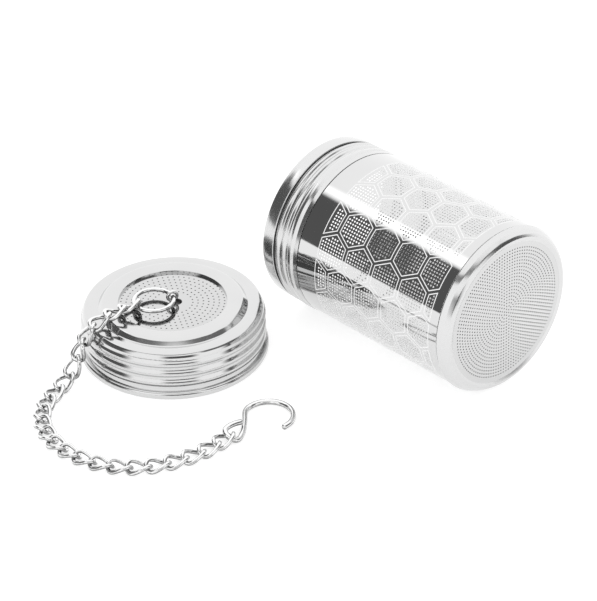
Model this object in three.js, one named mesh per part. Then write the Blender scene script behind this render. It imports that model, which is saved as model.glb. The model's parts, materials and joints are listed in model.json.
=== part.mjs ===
// A stainless steel tea infuser: a perforated basket lying on its side, its
// screw lid flat on the table beside it, and a chain with an S-hook that runs
// from the middle of the lid. Millimetres, +Z up.
import * as THREE from "three";

// ---- Driving dimensions ----
const WALL_RADIUS = 23.7;
const BASKET_LENGTH = 69.5;
const SHEET = 0.5;
const FIT_GAP = 0.3;
const LID_RADIUS = 25.9;
const WIRE = 1.0;
const RING_RADIUS = 5.35;
const RING_WIRE = 1.2;
const LINK_PITCH = 5.05;
const LINK_COUNT = 23;
const HOOK_WIRE = 1.5;

// ---- Resolution ----
const ROUND_SEGMENTS = 60;
const LINK_SECTIONS = 16;
const WIRE_SIDES = 6;

// ---- Where things stand: the basket's mouth is at x = 0, its axis runs along +X ----
const STAND_RADIUS = WALL_RADIUS + 0.25;
const LID_CENTRE = new THREE.Vector2(-8.8, -49.2);
const RING_BEARING = Math.PI * 1.37;
const CHAIN_BEARING = Math.PI * 1.36;
const TABLE_RUN = 1.45;

// ---- Derived basket sizes ----
const BEAD_END = 13.5;
const WALL_START = BEAD_END + FIT_GAP;
const RIM_START = BASKET_LENGTH - 3.2;
const WALL_END = RIM_START - FIT_GAP;
const WALL_INSIDE = WALL_RADIUS - SHEET;
const SLEEVE_RADIUS = WALL_INSIDE - FIT_GAP;
const SLEEVE_INSIDE = SLEEVE_RADIUS - SHEET;
const DISC_RADIUS = 22.1;

// ---- Derived lid sizes ----
const LID_HEIGHT = 13.8;
const LID_INSIDE = 24.2;
const PLATEAU_TOP = 15.2;
const WINDOW_RADIUS = 14.8;
const STRAINER_TOP = PLATEAU_TOP - SHEET - FIT_GAP;
const STRAINER_BOTTOM = STRAINER_TOP - SHEET;
const SHANK_RADIUS = 0.9;

// ---- Derived chain sizes ----
const LINK_OVERSHOOT = (WIRE + 0.35) / 2;
const LINK_HALF_WIDTH = 2.1;
const LINK_HALF_LENGTH = LINK_PITCH / 2 + LINK_OVERSHOOT;
const LINK_TWIST = -Math.PI / 4;
const RING_END_ROLLS = [0.5, 0.28, 0.1];
const RING_HEIGHT = STRAINER_TOP + 2.15;
const EYE_RADIUS = 1.35;
const EYE_WIRE = 0.9;
const HOOK_SEAT = (HOOK_WIRE + 0.5) / 2;
const HOOK_EYE_RADIUS = 1.95;
const HOOK_EYE_RISE = 2.1;
const HOOK_BEND_RADIUS = 6.65;

const assembly = new THREE.Group();

// ---- Materials ----

function steel(colour, roughness) {
  return new THREE.MeshStandardMaterial({ color: colour, roughness, metalness: 1 });
}

const polishedSheet = steel(0xd9dadb, 0.12);
const satinSheet = steel(0xc4c6c8, 0.28);
const brightWire = steel(0xcfd1d3, 0.15);

function addMesh(parent, name, geometry, material) {
  const mesh = new THREE.Mesh(geometry, material.clone());
  mesh.name = name;
  parent.add(mesh);
  return mesh;
}

// ---- Turned sheet: closed profiles of [radius, height] turned about +Z ----

function turned(profile) {
  const points = profile.map(([radius, height]) => new THREE.Vector2(radius, height));
  points.push(points[0].clone());
  const geometry = new THREE.LatheGeometry(points, ROUND_SEGMENTS);
  return geometry.rotateX(Math.PI / 2);
}

// One rolled thread ridge: five points that swell from the valley to the crest.
function ridge(centre, valley, crest, halfWidth) {
  const steps = [-1, -0.45, 0, 0.45, 1];
  const swell = [0, 0.8, 1, 0.8, 0];
  return steps.map((step, i) => [valley + (crest - valley) * swell[i], centre + step * halfWidth]);
}

// ---- Basket ----

const basket = new THREE.Group();
basket.position.z = STAND_RADIUS;
basket.rotation.y = Math.PI / 2;
assembly.add(basket);

function collarProfile() {
  const valley = 23.15;
  const crest = 23.75;
  const rolledLip = [[SLEEVE_INSIDE, 0.5], [22.8, 0.05], [23.3, 0.05], [23.65, 0.6]];
  const band = [[WALL_RADIUS, 2.2], [23.6, 4.1], [valley, 4.5]];
  const threads = [...ridge(5.6, valley, crest, 0.9), ...ridge(7.8, valley, crest, 0.9)];
  const bead = [[valley, 11.4], [23.7, 11.8], [STAND_RADIUS, 12.6], [23.7, 13.3], [23.4, BEAD_END]];
  const sleeve = [[SLEEVE_RADIUS, BEAD_END], [SLEEVE_RADIUS, 16.5], [SLEEVE_INSIDE, 16.5]];
  return [...rolledLip, ...band, ...threads, ...bead, ...sleeve];
}

function wallProfile() {
  return [
    [WALL_INSIDE, WALL_START],
    [WALL_RADIUS, WALL_START],
    [WALL_RADIUS, WALL_END],
    [WALL_INSIDE, WALL_END],
  ];
}

function rimProfile() {
  const ledge = BASKET_LENGTH - SHEET - 2 * FIT_GAP;
  const seat = DISC_RADIUS + FIT_GAP;
  return [
    [seat, 62.8],
    [SLEEVE_RADIUS, 62.8],
    [SLEEVE_RADIUS, RIM_START],
    [STAND_RADIUS, RIM_START],
    [STAND_RADIUS, 67.7],
    [23.65, 68.6],
    [23.1, 69.2],
    [seat, BASKET_LENGTH],
    [seat, ledge],
    [DISC_RADIUS - 0.9, ledge],
    [DISC_RADIUS - 0.9, ledge - SHEET],
    [seat, ledge - SHEET],
  ];
}

function plate(radius, bottom, top) {
  const disc = new THREE.CylinderGeometry(radius, radius, top - bottom, ROUND_SEGMENTS);
  return disc.rotateX(Math.PI / 2).translate(0, 0, (top + bottom) / 2);
}

addMesh(basket, "basket_collar", turned(collarProfile()), polishedSheet);
addMesh(basket, "basket_wall", turned(wallProfile()), polishedSheet);
addMesh(basket, "base_rim", turned(rimProfile()), polishedSheet);
addMesh(basket, "base_strainer", plate(DISC_RADIUS, BASKET_LENGTH - SHEET, BASKET_LENGTH), satinSheet);

// ---- Lid ----

const lid = new THREE.Group();
lid.position.set(LID_CENTRE.x, LID_CENTRE.y, 0);
assembly.add(lid);

function lidProfile() {
  const valley = LID_INSIDE + SHEET;
  const crest = 25.25;
  const curl = [[LID_INSIDE + 0.3, 0.3], [25.1, 0], [25.7, 0.3], [LID_RADIUS, 1.2], [25.6, 2.2]];
  const threads = [4.9, 7.9, 10.9].flatMap((height) => ridge(height, valley, crest, 1.1));
  const corner = [[24.65, 12.7], [24.3, 13.5], [23.7, LID_HEIGHT]];
  const annulus = [[22.2, LID_HEIGHT + 0.1], [20.5, LID_HEIGHT]];
  const plateau = [[20, 14], [19.2, 14.9], [18.6, PLATEAU_TOP], [WINDOW_RADIUS, PLATEAU_TOP]];
  const underside = [
    [WINDOW_RADIUS, PLATEAU_TOP - SHEET],
    [18.5, PLATEAU_TOP - SHEET],
    [20.2, 13.3],
    [23.5, 13.3],
    [LID_INSIDE, 12.6],
    [LID_INSIDE, 1.2],
  ];
  return [...curl, ...threads, ...corner, ...annulus, ...plateau, ...underside];
}

function strainerProfile() {
  const hole = SHANK_RADIUS + FIT_GAP;
  const edge = WINDOW_RADIUS + 2;
  return [[hole, STRAINER_BOTTOM], [edge, STRAINER_BOTTOM], [edge, STRAINER_TOP], [hole, STRAINER_TOP]];
}

addMesh(lid, "lid_cap", turned(lidProfile()), polishedSheet);
addMesh(lid, "lid_strainer", turned(strainerProfile()), satinSheet);

// ---- Bent wire: a round wire swept along an open curve ----

function bentWire(points, diameter, steps) {
  const section = new THREE.Shape();
  for (let i = 0; i < WIRE_SIDES; i += 1) {
    const angle = (2 * Math.PI * i) / WIRE_SIDES;
    const x = (diameter / 2) * Math.cos(angle);
    const y = (diameter / 2) * Math.sin(angle);
    if (i === 0) section.moveTo(x, y);
    else section.lineTo(x, y);
  }
  const path = new THREE.CatmullRomCurve3(points, false, "centripetal");
  return new THREE.ExtrudeGeometry(section, { steps, bevelEnabled: false, extrudePath: path });
}

function arcPoints(centre, radius, from, to, count) {
  return Array.from({ length: count }, (_, i) => {
    const angle = from + ((to - from) * i) / (count - 1);
    return [centre[0] + radius * Math.cos(angle), centre[1] + radius * Math.sin(angle)];
  });
}

// ---- Split-pin eyelet in the middle of the lid ----

function eyeletGeometry() {
  const legSpread = 0.47;
  const legHeight = STRAINER_BOTTOM - FIT_GAP - EYE_WIRE / 2;
  const loop = arcPoints([0, RING_HEIGHT], EYE_RADIUS, -1.2, Math.PI + 1.2, 9);
  const leg = [[legSpread, STRAINER_TOP], [legSpread, legHeight + 0.7], [1.2, legHeight], [2.8, legHeight]];
  const outline = [...leg.toReversed(), ...loop, ...leg.map(([x, z]) => [-x, z])];
  const points = outline.map(([x, z]) => new THREE.Vector3(x, 0, z));
  return bentWire(points, EYE_WIRE, 40);
}

const eyelet = addMesh(lid, "lid_eyelet", eyeletGeometry(), brightWire);
eyelet.rotation.z = RING_BEARING;

// ---- Ring: lies level, threaded through the eyelet ----

const ringCentre = new THREE.Vector3(
  LID_CENTRE.x + RING_RADIUS * Math.cos(RING_BEARING),
  LID_CENTRE.y + RING_RADIUS * Math.sin(RING_BEARING),
  RING_HEIGHT,
);
const ring = addMesh(
  assembly,
  "chain_ring",
  new THREE.TorusGeometry(RING_RADIUS, RING_WIRE / 2, WIRE_SIDES, 28),
  brightWire,
);
ring.position.copy(ringCentre);

// ---- Chain: equal links walked along its route over the lid's edge to the table ----

const chainStart = new THREE.Vector3(Math.cos(CHAIN_BEARING), Math.sin(CHAIN_BEARING), 0)
  .multiplyScalar(RING_RADIUS - LINK_OVERSHOOT)
  .add(ringCentre);

const route = new THREE.CatmullRomCurve3(
  [
    chainStart,
    new THREE.Vector3(-13.2, -63.3, 17.1),
    new THREE.Vector3(-13.4, -68.0, 17.4),
    new THREE.Vector3(-14.2, -72.5, 16.0),
    new THREE.Vector3(-15.3, -75.75, 12.2),
    new THREE.Vector3(-15.9, -77.6, 7.6),
    new THREE.Vector3(-15.8, -80.1, 3.5),
    new THREE.Vector3(-15.1, -84.4, TABLE_RUN + 0.2),
    new THREE.Vector3(-13.7, -89.4, TABLE_RUN),
    new THREE.Vector3(-11.5, -94.0, TABLE_RUN),
    new THREE.Vector3(-8.2, -97.9, TABLE_RUN),
    new THREE.Vector3(-4.0, -100.8, TABLE_RUN),
    new THREE.Vector3(0.8, -102.7, TABLE_RUN),
    new THREE.Vector3(5.9, -103.5, TABLE_RUN),
    new THREE.Vector3(11.1, -103.3, TABLE_RUN),
    new THREE.Vector3(16.2, -102.2, TABLE_RUN),
    new THREE.Vector3(20.9, -100.2, TABLE_RUN),
    new THREE.Vector3(25.1, -97.3, TABLE_RUN),
    new THREE.Vector3(28.6, -93.5, TABLE_RUN),
    new THREE.Vector3(31.2, -89.0, TABLE_RUN),
    new THREE.Vector3(33.0, -84.2, TABLE_RUN),
    new THREE.Vector3(34.2, -79.1, TABLE_RUN),
    new THREE.Vector3(34.6, -74.0, TABLE_RUN + 0.2),
    new THREE.Vector3(34.5, -68.8, TABLE_RUN + 0.5),
    new THREE.Vector3(34.1, -64.0, TABLE_RUN + 0.8),
  ],
  false,
  "centripetal",
);

// Points on the route that lie a straight-line pitch apart.
function walkRoute(curve, pitch, count) {
  const samples = curve.getSpacedPoints(4000);
  const stops = [samples[0]];
  for (const sample of samples) {
    const last = stops[stops.length - 1];
    if (stops.length <= count && sample.distanceTo(last) >= pitch) stops.push(sample);
  }
  return stops;
}

// A curb link: a flattened ring, twisted a quarter turn from end to end.
function curbLinkGeometry() {
  const geometry = new THREE.TorusGeometry(LINK_HALF_WIDTH, WIRE / 2, WIRE_SIDES, LINK_SECTIONS);
  const stretch = LINK_HALF_LENGTH - LINK_HALF_WIDTH;
  const place = geometry.attributes.position;
  const point = new THREE.Vector3();
  const along = new THREE.Vector3(1, 0, 0);
  for (let i = 0; i < place.count; i += 1) {
    point.fromBufferAttribute(place, i);
    const turn = Math.atan2(point.y, point.x);
    point.x += stretch * THREE.MathUtils.clamp(2 * Math.cos(turn), -1, 1);
    point.applyAxisAngle(along, (LINK_TWIST * point.x) / LINK_HALF_LENGTH);
    place.setXYZ(i, point.x, point.y, point.z);
  }
  geometry.computeVertexNormals();
  return geometry;
}

// Local X runs from one stop to the next, and local Y stays level, apart from the roll.
function layBetween(mesh, from, to, roll) {
  const along = to.clone().sub(from).normalize();
  const across = new THREE.Vector3(0, 0, 1).cross(along).normalize().applyAxisAngle(along, roll);
  const normal = along.clone().cross(across);
  mesh.quaternion.setFromRotationMatrix(new THREE.Matrix4().makeBasis(along, across, normal));
  mesh.position.copy(from).lerp(to, 0.5);
}

const stops = walkRoute(route, LINK_PITCH, LINK_COUNT);
const linkGeometry = curbLinkGeometry();
for (let i = 0; i < LINK_COUNT; i += 1) {
  const name = `chain_link_${String(i + 1).padStart(2, "0")}`;
  const link = addMesh(assembly, name, linkGeometry, brightWire);
  layBetween(link, stops[i], stops[i + 1], RING_END_ROLLS[i] ?? 0);
}

// ---- S-hook: flat on the table, a small return bend holding the last link ----

function hookGeometry() {
  const flat = HOOK_WIRE / 2;
  const eyeCentre = [-0.25, HOOK_EYE_RADIUS];
  const bendCentre = [-0.35, 15.1];
  const eye = arcPoints(eyeCentre, HOOK_EYE_RADIUS, Math.PI, 2 * Math.PI, 5).map(([x, y], i) => {
    return [x, y, flat + (HOOK_EYE_RISE * (1 + Math.cos(Math.PI * (i / 4 - 0.1)))) / 2];
  });
  const bend = arcPoints(bendCentre, HOOK_BEND_RADIUS, 1.12 * Math.PI, -0.03 * Math.PI, 9);
  const outline = [
    [-2.1, 6.6, 2.3],
    [-2.3, 4.2, 2.7],
    ...eye,
    [0.4, 4.9, flat],
    [-3.0, 8.9, flat],
    ...bend.map(([x, y]) => [x, y, flat]),
  ];
  const points = outline.map(([x, y, z]) => new THREE.Vector3(x, y, z));
  return bentWire(points, HOOK_WIRE, 56);
}

const chainEnd = stops[LINK_COUNT];
const hook = addMesh(assembly, "s_hook", hookGeometry(), brightWire);
hook.position.set(chainEnd.x, chainEnd.y - HOOK_SEAT, 0);

// ---- Stand the whole set on z = 0 with its footprint centred on the origin ----

assembly.updateMatrixWorld(true);
const bounds = new THREE.Box3().setFromObject(assembly, true);
const centre = bounds.getCenter(new THREE.Vector3());
assembly.position.set(-centre.x, -centre.y, -bounds.min.z);

export default assembly;
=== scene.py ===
"""Stainless steel tea infuser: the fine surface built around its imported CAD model.

The perforated basket lies on its side, the screw lid lies flat beside it, and a
curb chain with an S-hook runs from the middle of the lid to the table.
Lengths are millimetres in the row frame until make_mesh() turns them into metres.
"""

import json
import math

import bpy
import numpy as np
from mathutils import Matrix, Quaternion, Vector
from mathutils.geometry import delaunay_2d_cdt


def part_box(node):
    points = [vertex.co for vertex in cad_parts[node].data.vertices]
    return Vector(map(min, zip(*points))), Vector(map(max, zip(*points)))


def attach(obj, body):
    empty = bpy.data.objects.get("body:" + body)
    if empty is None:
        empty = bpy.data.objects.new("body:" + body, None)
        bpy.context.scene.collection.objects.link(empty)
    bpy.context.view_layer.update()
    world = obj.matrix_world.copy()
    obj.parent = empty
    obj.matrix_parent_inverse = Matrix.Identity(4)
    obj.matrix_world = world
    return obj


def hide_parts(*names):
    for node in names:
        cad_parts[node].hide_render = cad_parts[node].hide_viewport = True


MM = 0.001

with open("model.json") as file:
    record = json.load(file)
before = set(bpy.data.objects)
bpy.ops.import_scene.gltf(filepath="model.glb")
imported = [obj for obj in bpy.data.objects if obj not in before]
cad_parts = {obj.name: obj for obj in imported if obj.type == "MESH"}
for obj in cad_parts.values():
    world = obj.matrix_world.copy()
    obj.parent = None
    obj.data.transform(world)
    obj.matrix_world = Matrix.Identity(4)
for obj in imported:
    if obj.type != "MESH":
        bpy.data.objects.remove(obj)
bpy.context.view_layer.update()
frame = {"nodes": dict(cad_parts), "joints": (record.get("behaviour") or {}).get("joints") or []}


# ---- Places and sizes read from the frame, in millimetres ----


def low(node):
    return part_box(node)[0] / MM


def high(node):
    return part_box(node)[1] / MM


def middle(node):
    return (low(node) + high(node)) / 2


joint_places = {j["name"]: Vector(j["pos_m"]) / MM for j in frame["joints"] if "pos_m" in j}
chain_links = sorted(node for node in frame["nodes"] if node.startswith("chain_link_"))

BASKET_LENGTH = 69.5  # from the mouth's edge to the outermost part of the base rim
base_face = high("base_strainer").x
mouth = Vector((base_face - BASKET_LENGTH, middle("basket_wall").y, middle("basket_wall").z))
WALL_RADIUS = (high("basket_wall").z - low("basket_wall").z) / 2
WALL_START = low("basket_wall").x - mouth.x
WALL_END = high("basket_wall").x - mouth.x
BEAD_RADIUS = (high("basket_collar").z - low("basket_collar").z) / 2
RIM_SLEEVE = 3.5
RIM_START = low("base_rim").x - mouth.x + RIM_SLEEVE

lid_centre = middle("lid_cap").xy
LID_RADIUS = (high("lid_cap").x - low("lid_cap").x) / 2
PLATEAU_TOP = high("lid_cap").z
STRAINER_TOP = high("lid_strainer").z
STRAINER_BOTTOM = low("lid_strainer").z

ring_centre = middle("chain_ring")
ring_bearing = math.atan2(ring_centre.y - lid_centre.y, ring_centre.x - lid_centre.x)
stops = [joint_places[f"link_{i:02d}_swing"] for i in range(1, len(chain_links) + 1)]
stops.append(joint_places["hook_swing"])


# ---- Camera: a long lens at the photograph's viewing angle ----

LENS = 225.37
SENSOR_WIDTH = 36
CAMERA_AZIMUTH = math.radians(46.617)
CAMERA_ELEVATION = math.radians(33.56)
CAMERA_ROLL = math.radians(-1.36)
CAMERA_DISTANCE = 1048
CAMERA_TARGET = Vector((mouth.x - 0.78, mouth.y - 9.72, 0))


def add_camera():
    data = bpy.data.cameras.new("camera")
    data.lens = LENS
    data.sensor_width = SENSOR_WIDTH
    data.clip_start = 0.05
    data.clip_end = 50
    camera = bpy.data.objects.new("camera", data)
    bpy.context.scene.collection.objects.link(camera)
    level = math.cos(CAMERA_ELEVATION)
    back = Vector(
        (
            math.sin(CAMERA_AZIMUTH) * level,
            -math.cos(CAMERA_AZIMUTH) * level,
            math.sin(CAMERA_ELEVATION),
        )
    )
    camera.location = (CAMERA_TARGET + back * CAMERA_DISTANCE) * MM
    camera.rotation_mode = "QUATERNION"
    aim = (-back).to_track_quat("-Z", "Y")
    camera.rotation_quaternion = aim @ Quaternion((0, 0, 1), CAMERA_ROLL)
    bpy.context.scene.camera = camera


add_camera()


# ---- Materials ----


class Nodes:
    """Short calls for adding and linking the nodes of one material."""

    def __init__(self, material):
        material.use_nodes = True
        self.tree = material.node_tree
        self.shader = self.tree.nodes["Principled BSDF"]

    def add(self, kind, inputs=(), **settings):
        node = self.tree.nodes.new(kind)
        for key, value in settings.items():
            setattr(node, key, value)
        for key, value in dict(inputs).items():
            if isinstance(value, bpy.types.NodeSocket):
                self.tree.links.new(value, node.inputs[key])
            else:
                node.inputs[key].default_value = value
        return node

    def math(self, operation, a, b=0.0):
        return self.add("ShaderNodeMath", {0: a, 1: b}, operation=operation).outputs[0]

    def noise(self, vector, scale, detail):
        inputs = {"Vector": vector, "Scale": scale, "Detail": detail}
        return self.add("ShaderNodeTexNoise", inputs).outputs["Fac"]

    def between(self, value, low_value, high_value):
        """Noise, which seldom leaves 0.3 to 0.7, spread between two values."""
        inputs = {"Value": value, "From Min": 0.3, "From Max": 0.7}
        inputs.update({"To Min": low_value, "To Max": high_value})
        return self.add("ShaderNodeMapRange", inputs).outputs["Result"]


def lathe_coordinates(nodes, position, centre, along_x):
    """Distance from the turning axis, and height along it, as a vector."""
    offset = nodes.add(
        "ShaderNodeVectorMath",
        {0: position, 1: [-c * MM for c in centre]},
        operation="ADD",
    ).outputs[0]
    split = nodes.add("ShaderNodeSeparateXYZ", {0: offset})
    height, first, second = (0, 1, 2) if along_x else (2, 0, 1)
    squares = [nodes.math("POWER", split.outputs[i], 2.0) for i in (first, second)]
    radius = nodes.math("SQRT", nodes.math("ADD", *squares))
    inputs = {"X": radius, "Y": split.outputs[height]}
    return nodes.add("ShaderNodeCombineXYZ", inputs).outputs[0]


# Scales of the noises, in waves a metre, and the height that a bump of full strength has
SMUDGE_SCALE = 90
GRAIN_SCALE = 1400
TURNING_SCALE = 5200
BUMP_HEIGHT = 1e-5


def steel(
    name,
    tone,
    roughness,
    turned_about=None,
    along_x=False,
    line_depth=0.0,
    metallic=1,
    underside_shade=1,
):
    """Stainless steel. The tone and roughness drift over about a centimetre, as handled
    metal does, and a piece turned on a lathe has fine lines round its axis. Where the last
    argument is not 1, only that share of the tone is left on faces that point down: painted
    shade on the undersides, mottled by the grain noise."""
    material = bpy.data.materials.new(name)
    nodes = Nodes(material)
    position = nodes.add("ShaderNodeTexCoord").outputs["Object"]
    smudge = nodes.noise(position, SMUDGE_SCALE, 3)
    grain = nodes.noise(position, GRAIN_SCALE, 2)
    broad = nodes.math("MULTIPLY", smudge, 0.7)
    cloud = nodes.math("ADD", broad, nodes.math("MULTIPLY", grain, 0.3))
    rough = nodes.between(cloud, roughness * 0.7, roughness * 1.4)
    nodes.tree.links.new(rough, nodes.shader.inputs["Roughness"])
    colours = nodes.add("ShaderNodeMix", {"Factor": smudge}, data_type="RGBA")
    colours.inputs[6].default_value = (tone * 0.97, tone * 0.972, tone * 0.975, 1)
    colours.inputs[7].default_value = (tone * 1.03, tone * 1.03, tone * 1.028, 1)
    tint = colours.outputs[2]
    # Painted shade: faces that point down keep only the given share of the tone, mottled by the
    # grain noise.
    if underside_shade != 1:
        normal = nodes.add("ShaderNodeNewGeometry").outputs["Normal"]
        upward = nodes.add("ShaderNodeSeparateXYZ", {0: normal}).outputs[2]
        uneven = nodes.math("MULTIPLY", nodes.math("SUBTRACT", grain, 0.5), 1.2)
        patchy = nodes.math("ADD", upward, uneven)
        inputs = {"Value": patchy, "From Min": -0.25, "From Max": 0.45}
        inputs.update({"To Min": underside_shade, "To Max": 1.0})
        share = nodes.add("ShaderNodeMapRange", inputs).outputs["Result"]
        inputs = {0: tint, "Scale": share}
        tint = nodes.add("ShaderNodeVectorMath", inputs, operation="SCALE").outputs[0]
    nodes.tree.links.new(tint, nodes.shader.inputs["Base Color"])
    nodes.shader.inputs["Metallic"].default_value = metallic
    relief = nodes.math("MULTIPLY", grain, 0.25)
    if turned_about:
        turned = lathe_coordinates(nodes, position, turned_about, along_x)
        lines = nodes.noise(turned, TURNING_SCALE, 2)
        relief = nodes.math("ADD", relief, lines)
    inputs = {"Height": relief, "Distance": BUMP_HEIGHT, "Strength": line_depth}
    bump = nodes.add("ShaderNodeBump", inputs)
    nodes.tree.links.new(bump.outputs[0], nodes.shader.inputs["Normal"])
    return material


BASKET_AXIS = (mouth.x, mouth.y, mouth.z)
LID_AXIS = (lid_centre.x, lid_centre.y, 0)
wall_steel = steel("wall_polished", 0.62, 0.05, BASKET_AXIS, True, 0.06)
basket_steel = steel("basket_turned", 0.64, 0.18, BASKET_AXIS, True, 0.05)
lid_steel = steel("lid_turned", 0.61, 0.10, LID_AXIS, False, 0.15)
screen_steel = steel("strainer_satin", 0.6, 0.18, None, False, 0.1)
lid_screen_steel = steel("lid_strainer_polished", 0.56, 0.06, None, False, 0.05)
inside_steel = steel("inside_satin", 0.965, 0.42, None, False, 0.1, metallic=0)
etched_steel = steel("etched_line", 0.77, 0.6, None, False, 0.2, metallic=0)
# Painted shade: the strainers' hole walls and inner faces get a darker tone than their outer
# steel.
hole_shade_steel = steel("hole_wall", 0.42, 0.4, None, False, 0)
# Painted shade: a near-black tone laid in narrow grooves and below the eyelet hole.
seam_shade_steel = steel("seam_shadow", 0.12, 0.4, None, False, 0)
# The drawn wire's undersides are painted darker as shade.
wire_steel = steel("drawn_wire", 0.78, 0.05, None, False, 0.1, underside_shade=0.28)


# ---- Meshes ----


def make_mesh(name, points, faces, materials, body, replaced, face_materials=None):
    """A mesh object from points in millimetres, riding on its body."""
    mesh = bpy.data.meshes.new(name)
    mesh.from_pydata((np.asarray(points, float) * MM).tolist(), [], faces)
    for material in materials:
        mesh.materials.append(material)
    mesh.polygons.foreach_set("use_smooth", [True] * len(faces))
    if face_materials is not None:
        mesh.polygons.foreach_set("material_index", face_materials)
    mesh.update()
    piece = bpy.data.objects.new(name, mesh)
    bpy.context.scene.collection.objects.link(piece)
    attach(piece, body)
    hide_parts(replaced)
    return piece


def in_basket(radius, angle, height):
    """A point at that angle from straight up towards +Y, and that far along from the mouth."""
    across = math.sin(angle) * radius
    return (mouth.x + height, mouth.y + across, mouth.z + math.cos(angle) * radius)


def in_lid(radius, angle, height):
    return (
        lid_centre.x + math.cos(angle) * radius,
        lid_centre.y + math.sin(angle) * radius,
        height,
    )


TURN_SEGMENTS = 288
SHARP_ANGLE = math.radians(40)


def turned_piece(name, outline, place, material, body, replaced, seams=()):
    """A closed outline of (radius, height) points, anticlockwise, turned about an axis.
    seams are (lowest height, highest height, largest radius) of the grooves that get the
    near-black seam material, painted shade."""
    count = len(outline)
    points = [
        place(radius, 2 * math.pi * s / TURN_SEGMENTS, height)
        for s in range(TURN_SEGMENTS)
        for radius, height in outline
    ]
    faces = []
    for s in range(TURN_SEGMENTS):
        here, there = s * count, (s + 1) % TURN_SEGMENTS * count
        for i in range(count):
            j = (i + 1) % count
            faces.append((here + i, there + i, there + j, here + j))
    # Painted shade: faces in the listed grooves take the near-black seam material.
    dark = []
    for (r0, h0), (r1, h1) in zip(outline, outline[1:] + outline[:1]):
        radius, height = (r0 + r1) / 2, (h0 + h1) / 2
        dark.append(int(any(lo < height < hi and radius < most for lo, hi, most in seams)))
    piece = make_mesh(
        name,
        points,
        faces,
        [material, seam_shade_steel],
        body,
        replaced,
        dark * TURN_SEGMENTS,
    )
    piece.data.set_sharp_from_angle(angle=SHARP_ANGLE)
    return piece


# ---- Outlines of turned pieces ----


def rounded(corners, steps=5):
    """Corners (radius, height, fillet) joined by straight lines, each corner rounded."""
    line = []
    for i, (x, y, fillet) in enumerate(corners):
        here = Vector((x, y))
        if fillet == 0 or i in (0, len(corners) - 1):
            line.append((x, y))
            continue
        before = Vector(corners[i - 1][:2]) - here
        after = Vector(corners[i + 1][:2]) - here
        half = before.angle(after) / 2
        reach = min(fillet / math.tan(half), before.length * 0.49, after.length * 0.49)
        radius = reach * math.tan(half)
        inward = (before.normalized() + after.normalized()).normalized()
        centre = here + inward * (radius / math.sin(half))
        first = here + before.normalized() * reach - centre
        last = here + after.normalized() * reach - centre
        sweep = first.angle_signed(last)
        for k in range(steps + 1):
            spoke = first.copy()
            spoke.rotate(Matrix.Rotation(-sweep * k / steps, 2))
            line.append(tuple(centre + spoke))
    return line


def ridge(centre, valley, crest, half_width, steps=14):
    """One rolled ridge, with a broad crest and soft feet."""
    line = []
    for k in range(steps + 1):
        offset = half_width * (2 * k / steps - 1)
        swell = (0.5 + 0.5 * math.cos(math.pi * offset / half_width)) ** 0.75
        line.append((valley + (crest - valley) * swell, centre + offset))
    return line


def inner_side(line, thickness):
    """The same line moved to its left by the sheet's thickness, and run backwards."""
    points = [Vector(p) for p in line]
    moved = []
    for i, point in enumerate(points):
        before = points[max(i - 1, 0)]
        after = points[min(i + 1, len(points) - 1)]
        along = (after - before).normalized()
        moved.append(tuple(point + Vector((-along.y, along.x)) * thickness))
    return moved[::-1]


def ellipse_arc(centre, across, up, start, end, steps):
    return [
        (
            centre[0] + across * math.cos(start + (end - start) * k / steps),
            centre[1] + up * math.sin(start + (end - start) * k / steps),
        )
        for k in range(steps + 1)
    ]


# ---- Basket: collar and base rim ----

THREAD_VALLEY = 23.15
THREAD_CREST = 23.75
THREADS = ((5.6, 0.9), (7.8, 0.95))  # each ridge's distance from the mouth, and half width
COLLAR_SHEET = 0.45
SLEEVE_OUTSIDE = 22.9
SLEEVE_INSIDE = 22.5
SLEEVE_START = 13.5
SLEEVE_END = 16.4


def collar_outline():
    lip = rounded(
        [
            (22.75, 0.5, 0),
            (22.75, 0.05, 0.4),
            (23.55, 0.05, 0.45),
            (23.68, 1.2, 2),
            (23.72, 2.4, 4),
            (23.66, 4.1, 0.25),
            (23.0, 4.2, 0.05),
            (22.95, 4.4, 0.05),
            (THREAD_VALLEY, 4.5, 0.05),
            (THREAD_VALLEY, 4.7, 0),
        ]
    )
    threads = [
        point
        for height, half_width in THREADS
        for point in ridge(height, THREAD_VALLEY, THREAD_CREST, half_width)
    ]
    bead = rounded(
        [
            (THREAD_VALLEY, 8.9, 0),
            (THREAD_VALLEY, 9.35, 0.2),
            (23.7, 9.6, 0.35),
            (BEAD_RADIUS, 10.4, 1.2),
            (23.9, 11.1, 0.4),
            (23.25, 12.0, 0.15),
            (23.45, 12.15, 0.1),
            (23.92, 12.25, 0.15),
            (WALL_RADIUS - 0.02, 13.48, 0),
        ]
    )
    sleeve = [
        (SLEEVE_OUTSIDE, SLEEVE_START),
        (SLEEVE_OUTSIDE, SLEEVE_END),
        (SLEEVE_INSIDE, SLEEVE_END),
        (SLEEVE_INSIDE, 12.0),
        (THREAD_VALLEY - COLLAR_SHEET, 10.4),
    ]
    return lip + threads + bead + sleeve + inner_side(threads, COLLAR_SHEET) + [(22.75, 4.2)]


# The notch behind the collar's lip is painted dark as shade.
COLLAR_SEAMS = [(4.15, 4.42, 23.3)]
turned_piece(
    "collar_rolled",
    collar_outline(),
    in_basket,
    basket_steel,
    "basket",
    "basket_collar",
    COLLAR_SEAMS,
)

BASE_RECESS = 0.35
BASE_OUTSIDE = BASKET_LENGTH - BASE_RECESS
RIM_SLEEVE_START = 62.9


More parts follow.
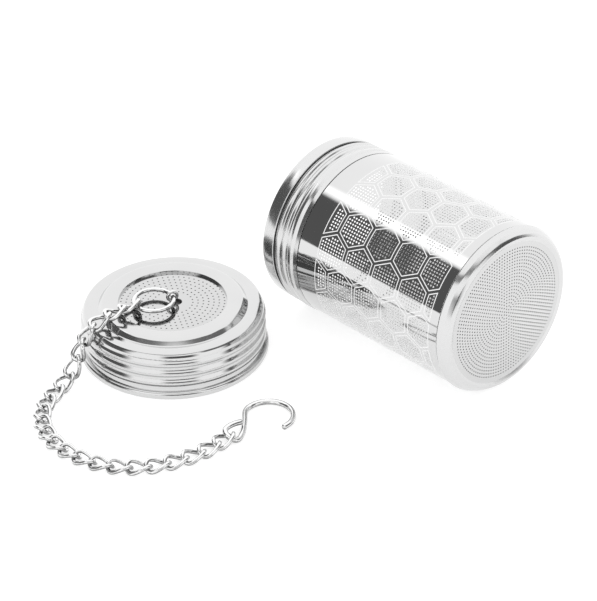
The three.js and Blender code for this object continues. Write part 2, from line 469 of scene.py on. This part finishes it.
def rim_outline():
    return rounded(
        [
            (22.2, RIM_SLEEVE_START, 0),
            (SLEEVE_OUTSIDE, RIM_SLEEVE_START, 0.1),
            (SLEEVE_OUTSIDE, RIM_START, 0.1),
            (BEAD_RADIUS, RIM_START, 0.12),
            (23.3, 67.8, 1.5),
            (22.5, 68.95, 1.2),
            (21.75, BASKET_LENGTH, 1.1),
            (21.3, BASKET_LENGTH, 0.3),
            (20.5, BASE_OUTSIDE + 0.01, 0),
            (20.5, BASE_OUTSIDE - 0.1, 0),
            (21.9, 67.9, 0),
        ]
    )


# The groove where the wall meets the base rim is painted dark as shade.
RIM_SEAMS = [(64, RIM_START, 23.2)]
turned_piece("rim_rolled", rim_outline(), in_basket, basket_steel, "basket", "base_rim", RIM_SEAMS)


# ---- Lid cap ----

LID_VALLEY = 24.7
LID_CREST = 25.25
LID_SHEET = 0.45
RIDGE_HEIGHTS = (4.9, 7.9, 10.9)
RIDGE_HALF_WIDTH = 1.25
CURL_HALF_WIDTH = 0.85
CURL_HALF_HEIGHT = 1.15
LID_HEIGHT = 13.8
WINDOW_RADIUS = 14.8
SCREEN_DEPTH = 0.76
LID_SCREEN_SHEET = 0.5
SCREEN_TOP = PLATEAU_TOP - SCREEN_DEPTH
SCREEN_BOTTOM = SCREEN_TOP - LID_SCREEN_SHEET


def cap_outline():
    curl = ellipse_arc(
        (LID_RADIUS - CURL_HALF_WIDTH, CURL_HALF_HEIGHT),
        CURL_HALF_WIDTH,
        CURL_HALF_HEIGHT,
        -math.pi,
        0.62 * math.pi,
        22,
    )
    threads = [
        point
        for height in RIDGE_HEIGHTS
        for point in ridge(height, LID_VALLEY, LID_CREST, RIDGE_HALF_WIDTH)
    ]
    top = rounded(
        [
            (LID_VALLEY, 12.2, 0),
            (24.55, 12.75, 0.5),
            (24.3, 13.3, 0.5),
            (23.9, LID_HEIGHT, 0.6),
            (22.2, LID_HEIGHT + 0.12, 4),
            (20.4, LID_HEIGHT, 0.45),
            (19.15, PLATEAU_TOP - 0.05, 1.2),
            (18.2, PLATEAU_TOP, 2),
            (WINDOW_RADIUS + 0.02, PLATEAU_TOP, 0.12),
            (WINDOW_RADIUS, SCREEN_TOP + 0.02, 0),
        ]
    )
    skirt = [(LID_VALLEY, 2.3), (LID_VALLEY, 3.4)] + threads
    inside = inner_side(skirt + top[:-1], LID_SHEET)
    edge = [(WINDOW_RADIUS + 0.3, SCREEN_TOP + 0.02)]
    return curl + skirt + top + edge + inside + [(LID_RADIUS - 2 * CURL_HALF_WIDTH, 2.0)]


turned_piece("cap_rolled", cap_outline(), in_lid, lid_steel, "lid", "lid_cap")


# ---- Perforated sheets, triangulated flat and then laid on their surface ----

HOLE_SIDES = 7


def circle(centre, radius, sides):
    return [
        (
            centre[0] + radius * math.cos(2 * math.pi * k / sides),
            centre[1] + radius * math.sin(2 * math.pi * k / sides),
        )
        for k in range(sides)
    ]


def inside_polygon(point, polygon):
    """True where a convex anticlockwise polygon holds the point."""
    return all(
        (bx - ax) * (point[1] - ay) - (by - ay) * (point[0] - ax) >= 0
        for (ax, ay), (bx, by) in zip(polygon, polygon[1:] + polygon[:1])
    )


class FlatSheet:
    """Loops and loose points on the flat plan (u, v) of a sheet with round holes."""

    def __init__(self):
        self.points = []
        self.edges = []
        self.loops = []
        self.depth = {}

    def add_points(self, points, depth=0.0):
        first = len(self.points)
        self.points.extend(points)
        for i in range(first, len(self.points)):
            self.depth[i] = depth
        return list(range(first, len(self.points)))

    def add_loop(self, points, kind, depth=0.0):
        """kind is border, hole or score: a score only lowers the surface along its line."""
        loop = self.add_points(points, depth)
        self.edges.extend(zip(loop, loop[1:] + loop[:1]))
        self.loops.append((kind, loop))

    def triangles(self):
        """The triangles of the plan, with those inside a hole left out."""
        flat = [Vector(p) for p in self.points]
        found = delaunay_2d_cdt(flat, self.edges, [], 1, 1e-7)
        origin = [source[0] for source in found[3]]
        hole_of = {}
        for number, (kind, loop) in enumerate(self.loops):
            if kind == "hole":
                hole_of.update(dict.fromkeys(loop, number))
        kept = []
        for face in found[2]:
            corners = [origin[v] for v in face]
            holes = {hole_of.get(c) for c in corners}
            if holes == {None} or len(holes) > 1:
                kept.append(corners)
        return kept


def perforated_piece(
    name, plan, thickness, surface, normal, materials, body, replaced, joined=None
):
    """The plan's triangles as outer and inner faces, with walls round its holes and borders.
    joined maps a plan point to the one that it meets where the sheet closes on itself."""
    joined = joined or {}
    same = [joined.get(i, i) for i in range(len(plan.points))]
    count = len(plan.points)
    points = [surface(u, v, plan.depth[i]) for i, (u, v) in enumerate(plan.points)]
    points += [surface(u, v, thickness) for u, v in plan.points]
    outward = [normal(u, v) for u, v in plan.points]
    faces, normals, face_materials = [], [], []
    for corners in plan.triangles():
        a, b, c = (same[i] for i in corners)
        scored = any(plan.depth[i] for i in corners)
        face_materials += [len(materials) - 1 if scored else 0, 1]
        faces += [(a, b, c), (c + count, b + count, a + count)]
        own = [Vector((0, 0, 0))] * 3 if scored else [outward[i] for i in corners]
        normals += own + [-outward[i] for i in reversed(corners)]
    for kind, loop in plan.loops:
        if kind == "score":
            continue
        middle_point = sum((Vector(points[i]) for i in loop), Vector()) / len(loop)
        for a, b in zip(loop, loop[1:] + loop[:1]):
            if a in joined and b in joined or a in joined.values() and b in joined.values():
                continue
            quad = (same[a], same[b], same[b] + count, same[a] + count)
            inward = [(middle_point - Vector(points[i])).normalized() for i in (a, b, b, a)]
            faces.append(quad if kind == "hole" else quad[::-1])
            normals += inward if kind == "hole" else [Vector((0, 0, 0))] * 4
            face_materials.append(1)
    used = sorted({i for face in faces for i in face})
    place = {i: n for n, i in enumerate(used)}
    faces = [tuple(place[i] for i in face) for face in faces]
    kept_points = [points[i] for i in used]
    piece = make_mesh(name, kept_points, faces, materials, body, replaced, face_materials)
    piece.data.normals_split_custom_set([tuple(n) for n in normals])
    return piece


# ---- Basket wall: hexagons of small holes inside an etched line ----

WALL_SHEET = 0.14
HOLE_RADIUS = 0.285
HOLE_PITCH = 0.92
HOLE_CLEARANCE = 0.13
GRID_REACH = 6
HEX_PITCH = 10.0
HEX_HALF = 4.6
HEX_CLEARANCE = 0.35
ROW_PITCH = 8.6
ROW_COUNT = 17
CELLS_IN_ROW = 5
ETCH_WIDTH = 0.27
ETCH_DEPTH = 0.06
PATTERN_START = 20.45
PATTERN_END = 63.2
FIRST_CENTRE = 20.1
SEAM_ANGLE = math.radians(133.7)
PLAIN_STEP = 1.45


def clipped(polygon, lowest, highest):
    """The polygon's part between two values of its first coordinate."""
    for limit, sign in ((lowest, 1), (highest, -1)):
        kept = []
        for (ax, ay), (bx, by) in zip(polygon, polygon[1:] + polygon[:1]):
            a_in, b_in = sign * (ax - limit) >= 0, sign * (bx - limit) >= 0
            if a_in:
                kept.append((ax, ay))
            if a_in != b_in:
                share = (limit - ax) / (bx - ax)
                kept.append((limit, ay + (by - ay) * share))
        polygon = kept
    return polygon


def cell(centre, inset):
    """A hexagon with flat sides across the basket's axis, cut off at the pattern's ends."""
    half = HEX_HALF - inset
    corner = half / math.sqrt(3)
    right = [(half, -corner), (half, corner), (0, 2 * corner)]
    shape = [(centre[0] + x, centre[1] + y) for x, y in right + [(-x, -y) for x, y in right]]
    return clipped(shape, PATTERN_START + inset, PATTERN_END - inset)


def divided(polygon, longest):
    line = []
    for (ax, ay), (bx, by) in zip(polygon, polygon[1:] + polygon[:1]):
        steps = max(1, math.ceil(math.hypot(bx - ax, by - ay) / longest))
        line += [(ax + (bx - ax) * k / steps, ay + (by - ay) * k / steps) for k in range(steps)]
    return line


def cell_holes(centre):
    """The square grid of hole centres that fit inside one cell."""
    room = cell(centre, ETCH_WIDTH + HOLE_RADIUS + HOLE_CLEARANCE)
    if len(room) < 3:
        return []
    steps = range(-GRID_REACH, GRID_REACH + 1)
    grid = [(centre[0] + HOLE_PITCH * i, centre[1] + HOLE_PITCH * j) for i in steps for j in steps]
    return [spot for spot in grid if inside_polygon(spot, room)]


def wall_plan():
    """The wall unrolled: u runs along the basket from its mouth, v round it from the seam."""
    around = 2 * math.pi * WALL_RADIUS
    plan = FlatSheet()
    columns = math.ceil(around / PLAIN_STEP)
    rows = math.ceil((WALL_END - WALL_START) / PLAIN_STEP)
    us = [WALL_START + (WALL_END - WALL_START) * k / rows for k in range(rows + 1)]
    vs = [around * k / columns for k in range(columns + 1)]
    border = [(us[0], v) for v in vs[::-1]] + [(u, 0) for u in us[1:]]
    border += [(us[-1], v) for v in vs[1:]] + [(u, around) for u in us[-2:0:-1]]
    plan.add_loop(border, "border")
    where = {p: i for i, p in enumerate(border)}
    joined = {where[(u, around)]: where[(u, 0)] for u in us}
    cells = []
    seam_width = around - ROW_COUNT * ROW_PITCH
    for row in range(ROW_COUNT):
        v = seam_width / 2 + ROW_PITCH * (row + 0.5)
        start = FIRST_CENTRE + HEX_PITCH / 2 * (row % 2)
        for step in range(CELLS_IN_ROW):
            cells.append((start + HEX_PITCH * step, v))
    for centre in cells:
        for inset, depth in ((0, 0), (ETCH_WIDTH / 2, ETCH_DEPTH), (ETCH_WIDTH, 0)):
            plan.add_loop(divided(cell(centre, inset), PLAIN_STEP), "score", depth)
        for spot in cell_holes(centre):
            plan.add_loop(circle(spot, HOLE_RADIUS, HOLE_SIDES), "hole")
    outlines = [cell(centre, -HEX_CLEARANCE) for centre in cells]
    plain = [(u, v) for u in us[1:-1] for v in vs[1:-1]]
    plan.add_points([p for p in plain if not any(near_cell(p, o) for o in outlines)])
    return plan, joined


def near_cell(point, outline):
    """True inside the outline. The first test only saves time on outlines far away."""
    if abs(outline[0][1] - point[1]) > 2 * HEX_PITCH:
        return False
    return inside_polygon(point, outline)


def on_wall(u, v, depth):
    return in_basket(WALL_RADIUS - depth, SEAM_ANGLE + v / WALL_RADIUS, u)


def wall_normal(u, v):
    angle = SEAM_ANGLE + v / WALL_RADIUS
    return Vector((0, math.sin(angle), math.cos(angle)))


wall_flat, wall_joined = wall_plan()
perforated_piece(
    "wall_perforated",
    wall_flat,
    WALL_SHEET,
    on_wall,
    wall_normal,
    [wall_steel, inside_steel, etched_steel],
    "basket",
    "basket_wall",
    wall_joined,
)


# ---- Strainer discs: rings of small holes ----


def ring_holes(radii, spacing, phase=None):
    """Hole centres on rings, in six equal parts. Without a phase, each ring is half a step on."""
    spots = []
    for n, radius in enumerate(radii):
        count = 6 * max(1, round(2 * math.pi * radius / spacing / 6))
        start = math.pi * (n % 2) / count if phase is None else phase
        for k in range(count):
            angle = start + 2 * math.pi * k / count
            spots.append((radius * math.cos(angle), radius * math.sin(angle)))
    return spots


BASE_HOLE = 0.22
BASE_SPACING = 0.984
BASE_PHASE = math.pi / 2


DISC_SIDES = 144
EYELET_HOLE_SIDES = 24


def disc_plan(radius, spots, hole_radius, eyelet_hole=None):
    plan = FlatSheet()
    plan.add_loop(circle((0, 0), radius, DISC_SIDES), "border")
    if eyelet_hole:
        plan.add_loop(circle(*eyelet_hole, EYELET_HOLE_SIDES), "hole")
    for spot in spots:
        plan.add_loop(circle(spot, hole_radius, HOLE_SIDES), "hole")
    return plan


BASE_RADIUS = 22.05
BASE_RINGS = [0.94 * k for k in range(1, 21)]
LID_RINGS = [5.5 + 1.44 * k for k in range(7)]
BASE_SCREEN_SHEET = 0.3
LID_HOLE = 0.23
LID_SPACING = 1.43
LID_SCREEN_RADIUS = WINDOW_RADIUS + 1.9
EYELET_HOLE = (-math.cos(ring_bearing), -math.sin(ring_bearing))
EYELET_HOLE_RADIUS = 1.65

base_spots = [(0, 0)] + ring_holes(BASE_RINGS, BASE_SPACING, BASE_PHASE)
lid_spots = ring_holes(LID_RINGS, LID_SPACING)

perforated_piece(
    "base_screen",
    disc_plan(BASE_RADIUS, base_spots, BASE_HOLE),
    BASE_SCREEN_SHEET,
    lambda u, v, depth: (mouth.x + BASE_OUTSIDE - depth, mouth.y + u, mouth.z + v),
    lambda u, v: Vector((1, 0, 0)),
    [screen_steel, hole_shade_steel],
    "basket",
    "base_strainer",
)
perforated_piece(
    "lid_screen",
    disc_plan(LID_SCREEN_RADIUS, lid_spots, LID_HOLE, (EYELET_HOLE, EYELET_HOLE_RADIUS)),
    LID_SCREEN_SHEET,
    lambda u, v, depth: (lid_centre.x + u, lid_centre.y + v, SCREEN_TOP - depth),
    lambda u, v: Vector((0, 0, 1)),
    [lid_screen_steel, hole_shade_steel],
    "lid",
    "lid_strainer",
)


# ---- Bent wire ----

WIRE = 1.15
EYE_WIRE = 0.9
RING_WIRE = 1.2
HOOK_WIRE = 1.6
WIRE_SIDES = 16
CAP_LENGTH = 0.6  # of the wire's radius
CAP_SHARES = (0.96, 0.75, 0.4)


def smooth_path(points, per_span):
    """A centripetal Catmull-Rom curve through the points."""
    points = [Vector(p) for p in points]
    ends = [points[0] * 2 - points[1]] + points + [points[-1] * 2 - points[-2]]
    path = []
    for a, b, c, d in zip(ends, ends[1:], ends[2:], ends[3:]):
        t1 = (b - a).length ** 0.5
        t2 = t1 + (c - b).length ** 0.5
        t3 = t2 + (d - c).length ** 0.5
        for k in range(per_span):
            t = t1 + (t2 - t1) * k / per_span
            ab = a.lerp(b, t / t1)
            bc = b.lerp(c, (t - t1) / (t2 - t1))
            cd = c.lerp(d, (t - t2) / (t3 - t2))
            abc = ab.lerp(bc, t / t2)
            bcd = bc.lerp(cd, (t - t1) / (t3 - t1))
            path.append(abc.lerp(bcd, (t - t1) / (t2 - t1)))
    return path + [points[-1]]


def wire_rings(path, diameter, closed):
    """Centre, two spokes and radius of each ring of points, turned as little as possible
    from the ring before. Open ends get smaller rings that round them off."""
    count = len(path)
    tangents = []
    for i in range(count):
        before = path[i - 1] if closed or i > 0 else path[0]
        after = path[(i + 1) % count] if closed or i < count - 1 else path[-1]
        tangents.append((after - before).normalized())
    side = tangents[0].orthogonal().normalized()
    sides = [side]
    for a, b in zip(tangents, tangents[1:]):
        side = (a.rotation_difference(b) @ sides[-1]).normalized()
        sides.append(side)
    twist = 0.0
    if closed:
        back = tangents[-1].rotation_difference(tangents[0]) @ sides[-1]
        twist = math.atan2(back.cross(sides[0]).dot(tangents[0]), back.dot(sides[0]))
    rings = []
    for i in range(count):
        spoke = Quaternion(tangents[i], twist * i / count) @ sides[i]
        other = tangents[i].cross(spoke)
        rings.append((path[i], spoke, other, diameter / 2))
    if closed:
        return rings
    start, end = rings[0], rings[-1]
    caps = [[], []]
    for share in CAP_SHARES:
        reach = diameter / 2 * CAP_LENGTH * math.sqrt(1 - share * share)
        caps[0].append((start[0] - tangents[0] * reach, start[1], start[2], start[3] * share))
        caps[1].append((end[0] + tangents[-1] * reach, end[1], end[2], end[3] * share))
    return caps[0][::-1] + rings + caps[1]


def wire_piece(name, path, diameter, closed, body, replaced):
    rings = wire_rings(path, diameter, closed)
    points = []
    for centre, spoke, other, radius in rings:
        for k in range(WIRE_SIDES):
            angle = 2 * math.pi * k / WIRE_SIDES
            points.append(centre + (spoke * math.cos(angle) + other * math.sin(angle)) * radius)
    faces = []
    spans = len(rings) if closed else len(rings) - 1
    for i in range(spans):
        here, there = i * WIRE_SIDES, (i + 1) % len(rings) * WIRE_SIDES
        for k in range(WIRE_SIDES):
            n = (k + 1) % WIRE_SIDES
            faces.append((here + k, here + n, there + n, there + k))
    if not closed:
        faces.append(tuple(range(WIRE_SIDES))[::-1])
        last = (len(rings) - 1) * WIRE_SIDES
        faces.append(tuple(range(last, last + WIRE_SIDES)))
    return make_mesh(name, points, faces, [wire_steel], body, replaced)


def arc_points(centre, radius, start, end, count):
    return [
        (
            centre[0] + radius * math.cos(start + (end - start) * k / (count - 1)),
            centre[1] + radius * math.sin(start + (end - start) * k / (count - 1)),
        )
        for k in range(count)
    ]


# ---- Eyelet and ring ----

RING_RADIUS = (high("chain_ring").x - low("chain_ring").x) / 2 - RING_WIRE / 2
EYE_RADIUS = 1.35
EYE_OVERTURN = 1.2
LEG_SPREAD = 0.47
LEG_HEIGHT = STRAINER_BOTTOM - 0.3 - EYE_WIRE / 2


def eyelet_path():
    """A loop round the ring's wire, whose two legs go through the strainer and splay."""
    start, end = -EYE_OVERTURN, math.pi + EYE_OVERTURN
    loop = arc_points((0, ring_centre.z), EYE_RADIUS, start, end, 9)
    leg = [
        (LEG_SPREAD, STRAINER_TOP),
        (LEG_SPREAD, LEG_HEIGHT + 0.7),
        (1.2, LEG_HEIGHT),
        (2.8, LEG_HEIGHT),
    ]
    outline = leg[::-1] + loop + [(-x, z) for x, z in leg]
    return smooth_path([in_lid(x, ring_bearing, z) for x, z in outline], 8)


wire_piece("eyelet_wire", eyelet_path(), EYE_WIRE, False, "eyelet", "lid_eyelet")

WASHER_RADIUS = 3.4
WASHER_TOP = SCREEN_BOTTOM - 0.02
WASHER_BOTTOM = SCREEN_BOTTOM - 0.2


def add_washer():
    """A washer below the strainer, seen through the hole that the eyelet turns in, in the
    near-black seam tone: painted shade in that hole.
    """
    sides = 48
    points = [
        in_lid(WASHER_RADIUS, 2 * math.pi * k / sides, height)
        for height in (WASHER_TOP, WASHER_BOTTOM)
        for k in range(sides)
    ]
    faces = [tuple(range(sides)), tuple(range(2 * sides - 1, sides - 1, -1))]
    for k in range(sides):
        n = (k + 1) % sides
        faces.append((k + sides, n + sides, n, k))
    make_mesh("eyelet_washer", points, faces, [seam_shade_steel], "lid", "lid_strainer")


add_washer()

RING_CUT = math.radians(0.9)
RING_CUT_BEARING = ring_bearing + math.pi + math.radians(38)


def ring_path():
    start = RING_CUT_BEARING + RING_CUT
    end = start + 2 * math.pi - 2 * RING_CUT
    turn = arc_points(ring_centre.xy, RING_RADIUS, start, end, 97)
    return [Vector((x, y, ring_centre.z)) for x, y in turn]


wire_piece("ring_wire", ring_path(), RING_WIRE, False, "ring", "chain_ring")


# ---- Chain: curb links between the stops of the joints ----

LINK_HALF_WIDTH = 2.05
LINK_TWIST = -math.pi / 4
RING_END_ROLLS = (0.5, 0.28, 0.1)
LINK_STEPS = 56
LINK_OVERSHOOT = 0.675


def link_outline(pitch):
    """A stretched ring, twisted a quarter turn from end to end, as points about its middle."""
    half_length = pitch / 2 + LINK_OVERSHOOT
    stretch = half_length - LINK_HALF_WIDTH
    points = []
    for k in range(LINK_STEPS):
        turn = 2 * math.pi * k / LINK_STEPS
        lean = max(-1.0, min(1.0, 2 * math.cos(turn)))
        x = LINK_HALF_WIDTH * math.cos(turn) + stretch * lean * (3 - lean * lean) / 2
        point = Vector((x, LINK_HALF_WIDTH * math.sin(turn), 0))
        points.append(Quaternion((1, 0, 0), LINK_TWIST * x / half_length) @ point)
    return points


def link_path(start, end, roll):
    along = (end - start).normalized()
    across = Quaternion(along, roll) @ Vector((0, 0, 1)).cross(along).normalized()
    turn = Matrix((along, across, along.cross(across))).transposed()
    middle_point = (start + end) / 2
    return [middle_point + turn @ point for point in link_outline((end - start).length)]


for i, node in enumerate(chain_links):
    roll = RING_END_ROLLS[i] if i < len(RING_END_ROLLS) else 0.0
    number = node.removeprefix("chain_link_")
    path = link_path(stops[i], stops[i + 1], roll)
    wire_piece(f"link_{number}_wire", path, WIRE, True, f"link_{number}", node)


# ---- S-hook ----

HOOK_SEAT = 1.0
HOOK_EYE_RADIUS = 1.95
HOOK_EYE_CENTRE = (-0.25, HOOK_EYE_RADIUS)
HOOK_EYE_RISE = 2.1
HOOK_BEND_RADIUS = 6.65
HOOK_BEND_CENTRE = (-0.35, 15.1)


def hook_path():
    """The small eye's end lies over the shank, and the wire comes down to the table on its
    way round the eye. Places are measured from the seat in the last link."""
    flat = HOOK_WIRE / 2
    eye = []
    half_turn = arc_points(HOOK_EYE_CENTRE, HOOK_EYE_RADIUS, math.pi, 2 * math.pi, 5)
    for i, (x, y) in enumerate(half_turn):
        rise = (1 + math.cos(math.pi * (i / 4 - 0.1))) / 2
        eye.append((x, y, flat + HOOK_EYE_RISE * rise))
    bend = arc_points(HOOK_BEND_CENTRE, HOOK_BEND_RADIUS, 1.12 * math.pi, -0.03 * math.pi, 9)
    outline = [(-2.1, 6.6, 2.3), (-2.3, 4.2, 2.7)] + eye + [(0.4, 4.9, flat), (-3.0, 8.9, flat)]
    outline += [(x, y, flat) for x, y in bend]
    seat = Vector((stops[-1].x, stops[-1].y - HOOK_SEAT, 0))
    return smooth_path([seat + Vector(p) for p in outline], 8)


wire_piece("hook_wire", hook_path(), HOOK_WIRE, False, "hook", "s_hook")


# ---- Studio: a pale table under a white room, with dark places that only the steel sees ----

ROOM_RADIUS = 4.0  # metres, like the table's size below
ROOM_LIGHT = 1.3

# Patches of the room in the steel's reflections, in degrees: azimuth from +X towards +Y, and
# height above the horizon. Each has a light level and the width of its soft edge.
PATCHES = [
    {"azimuth": (-166, -99), "height": (0.5, 47.5), "light": 0.12, "soft": (16, 0.8, 2.5)},
    {"azimuth": (-112, 22), "height": (45.5, 56), "light": 0.22, "soft": (10, 2, 3)},
    {"azimuth": (-5, 52), "height": (29, 50), "light": 0.2, "soft": (10, 3, 4)},
    {"azimuth": (-55, -17), "height": (2, 24), "light": 0.12, "soft": (14, 6, 6)},
    {"azimuth": (20, 62), "height": (0, 31), "light": 0.1, "soft": (15, 3, 5)},
    {"azimuth": (192, 212), "height": (49.5, 55), "light": 2.0, "soft": (12, 2.5, 3)},
]


def soft_step(value, edge, width):
    share = min(1.0, max(0.0, (value - edge) / width + 0.5))
    return share * share * (3 - 2 * share)


def room_light(azimuth, height):
    light = ROOM_LIGHT
    for patch in PATCHES:
        (first, last), (lowest, highest) = patch["azimuth"], patch["height"]
        around, below, above = patch["soft"]
        offset = (azimuth - (first + last) / 2 + 180) % 360 - 180
        share = 1 - soft_step(abs(offset), (last - first) / 2, around)
        share *= soft_step(height, lowest, below) * (1 - soft_step(height, highest, above))
        light += (patch["light"] - light) * share
    return light


def add_object(name, points, faces, material):
    mesh = bpy.data.meshes.new(name)
    mesh.from_pydata(points, [], faces)
    mesh.materials.append(material)
    thing = bpy.data.objects.new(name, mesh)
    bpy.context.scene.collection.objects.link(thing)
    return thing


TABLE_HALF_SIZE = 8.0
TABLE_TONE = 0.45
TABLE_GLOW = 0.7


def add_floor():
    size = TABLE_HALF_SIZE
    corners = [(-size, -size, 0), (size, -size, 0), (size, size, 0), (-size, size, 0)]
    material = bpy.data.materials.new("table_white")
    material.use_nodes = True
    shader = material.node_tree.nodes["Principled BSDF"]
    shader.inputs["Base Color"].default_value = (TABLE_TONE, TABLE_TONE, TABLE_TONE, 1)
    shader.inputs["Roughness"].default_value = 1
    shader.inputs["Specular IOR Level"].default_value = 0
    shader.inputs["Emission Color"].default_value = (1, 1, 1, 1)
    shader.inputs["Emission Strength"].default_value = TABLE_GLOW
    add_object("table_top", corners, [(0, 1, 2, 3)], material)


def add_room():
    """A dome whose light level is stored at its points. Only reflections show it."""
    around, up = 360, 180
    points, faces, levels = [], [], []
    for j in range(up + 1):
        degrees = j * 90 / up
        level = ROOM_RADIUS * math.cos(math.radians(degrees))
        height = ROOM_RADIUS * math.sin(math.radians(degrees))
        for i in range(around):
            azimuth = math.radians(i)
            points.append((level * math.cos(azimuth), level * math.sin(azimuth), height))
            levels.append(room_light(i, degrees))
    for j in range(up):
        here, above = j * around, (j + 1) * around
        for i in range(around):
            n = (i + 1) % around
            faces.append((here + i, here + n, above + n, above + i))
    material = bpy.data.materials.new("room")
    material.use_nodes = True
    tree = material.node_tree
    tree.nodes.clear()
    stored = tree.nodes.new("ShaderNodeAttribute")
    stored.attribute_name = "light"
    glow = tree.nodes.new("ShaderNodeEmission")
    tree.links.new(stored.outputs["Fac"], glow.inputs["Strength"])
    output = tree.nodes.new("ShaderNodeOutputMaterial")
    tree.links.new(glow.outputs[0], output.inputs["Surface"])
    material.cycles.emission_sampling = "NONE"
    dome = add_object("room_dome", points, faces, material)
    dome.data.attributes.new("light", "FLOAT", "POINT").data.foreach_set("value", levels)
    dome.visible_camera = False
    dome.visible_diffuse = False
    dome.visible_shadow = False


def add_daylight():
    world = bpy.data.worlds.new("white_room")
    world.use_nodes = True
    background = world.node_tree.nodes["Background"]
    background.inputs["Color"].default_value = (1, 1, 1, 1)
    background.inputs["Strength"].default_value = ROOM_LIGHT
    bpy.context.scene.world = world
    bpy.context.scene.view_settings.view_transform = "Standard"


add_floor()
add_room()
add_daylight()
